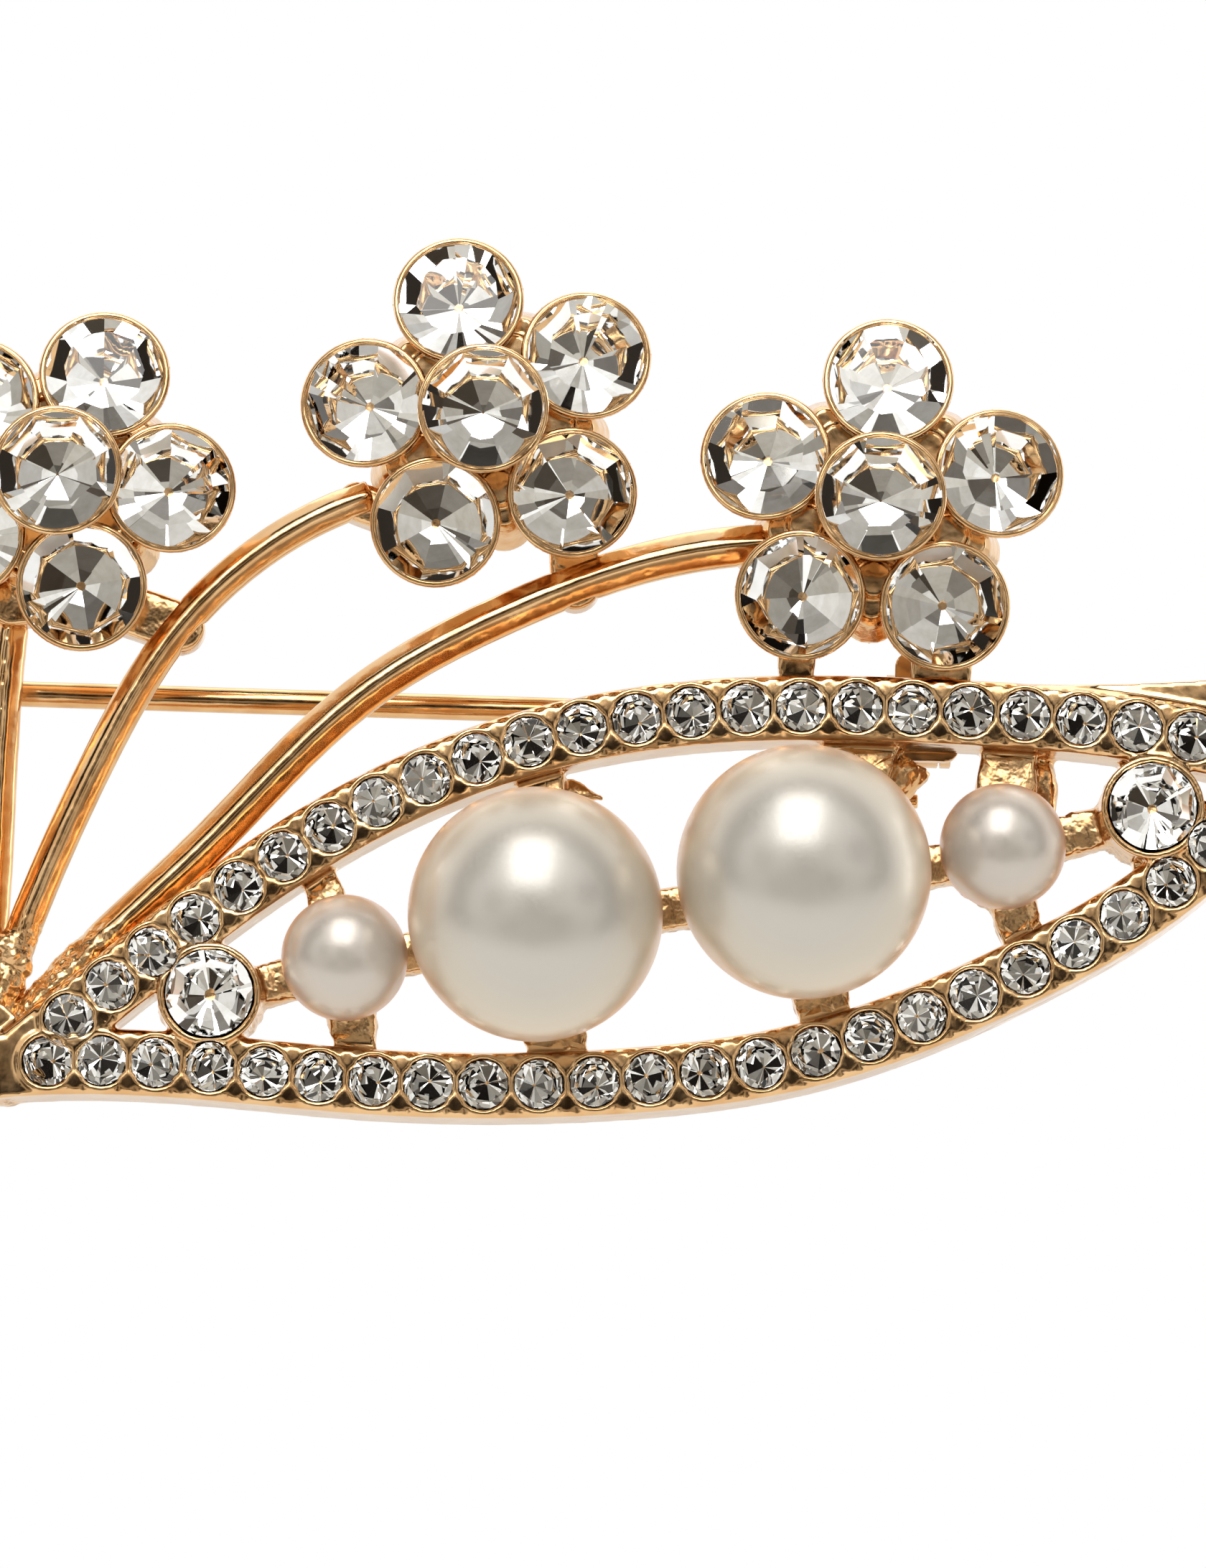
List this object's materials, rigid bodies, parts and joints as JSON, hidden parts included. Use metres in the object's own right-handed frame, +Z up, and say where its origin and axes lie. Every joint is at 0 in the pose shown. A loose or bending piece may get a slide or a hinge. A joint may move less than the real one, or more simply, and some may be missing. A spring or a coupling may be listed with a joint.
{
  "type": "spray brooch",
  "caption": "Gilt spray brooch: two open leaves rimmed with small cut stones, stone flowers on curved stems, imitation pearls, and a hinged pin with a turning safety catch on the back.",
  "frame": {"origin": "on the pin stem axis, near the middle of its free length", "axes": "+X along the pin stem towards its point, +Z up as worn, and -Y is the decorated front"},
  "size_m": [0.0546, 0.0126, 0.0281],
  "materials": {
    "gilt_casting": "polished gold plate on a cast alloy",
    "gilt_finding": "polished gold plate",
    "clear_stone": "faceted, foiled behind",
    "pearl": "pearlescent coat"
  },
  "bodies": {
    "brooch": {"accent_stone_left": "clear_stone", "accent_stone_right": "clear_stone", "big_left_pearl": "pearl", "big_right_pearl": "pearl", "catch_housing": "gilt_finding", "hinge_base": "gilt_finding", "hinge_rivet": "gilt_finding", "leaf_frame": "gilt_casting", "left_flower_centre": "clear_stone", "left_flower_petals": "clear_stone", "left_flower_setting": "gilt_casting", "left_stem": "gilt_casting", "lower_rim_stones": "clear_stone", "middle_flower_centre": "clear_stone", "middle_flower_petals": "clear_stone", "middle_flower_setting": "gilt_casting", "middle_stem": "gilt_casting", "right_flower_centre": "clear_stone", "right_flower_petals": "clear_stone", "right_flower_setting": "gilt_casting", "right_stem": "gilt_casting", "small_leaf_accent": "clear_stone", "small_leaf_frame": "gilt_casting", "small_leaf_pearl": "pearl", "small_leaf_stones": "clear_stone", "small_left_pearl": "pearl", "small_right_pearl": "pearl", "upper_rim_stones": "clear_stone"},
    "pin": {"pin_stem": "gilt_finding"},
    "sleeve": {"catch_sleeve": "gilt_finding"}
  },
  "joints": [
    {"name": "pin_hinge", "type": "hinge", "parent": "brooch", "child": "pin", "pos_m": [-0.0182, 0, 0], "axis": [0, 0, 1], "range_deg": [0, 75]},
    {"name": "catch_turn", "type": "hinge", "parent": "brooch", "child": "sleeve", "pos_m": [0.0178, 0, 0], "axis": [1, 0, 0], "range_deg": [0, 120]}
  ]
}
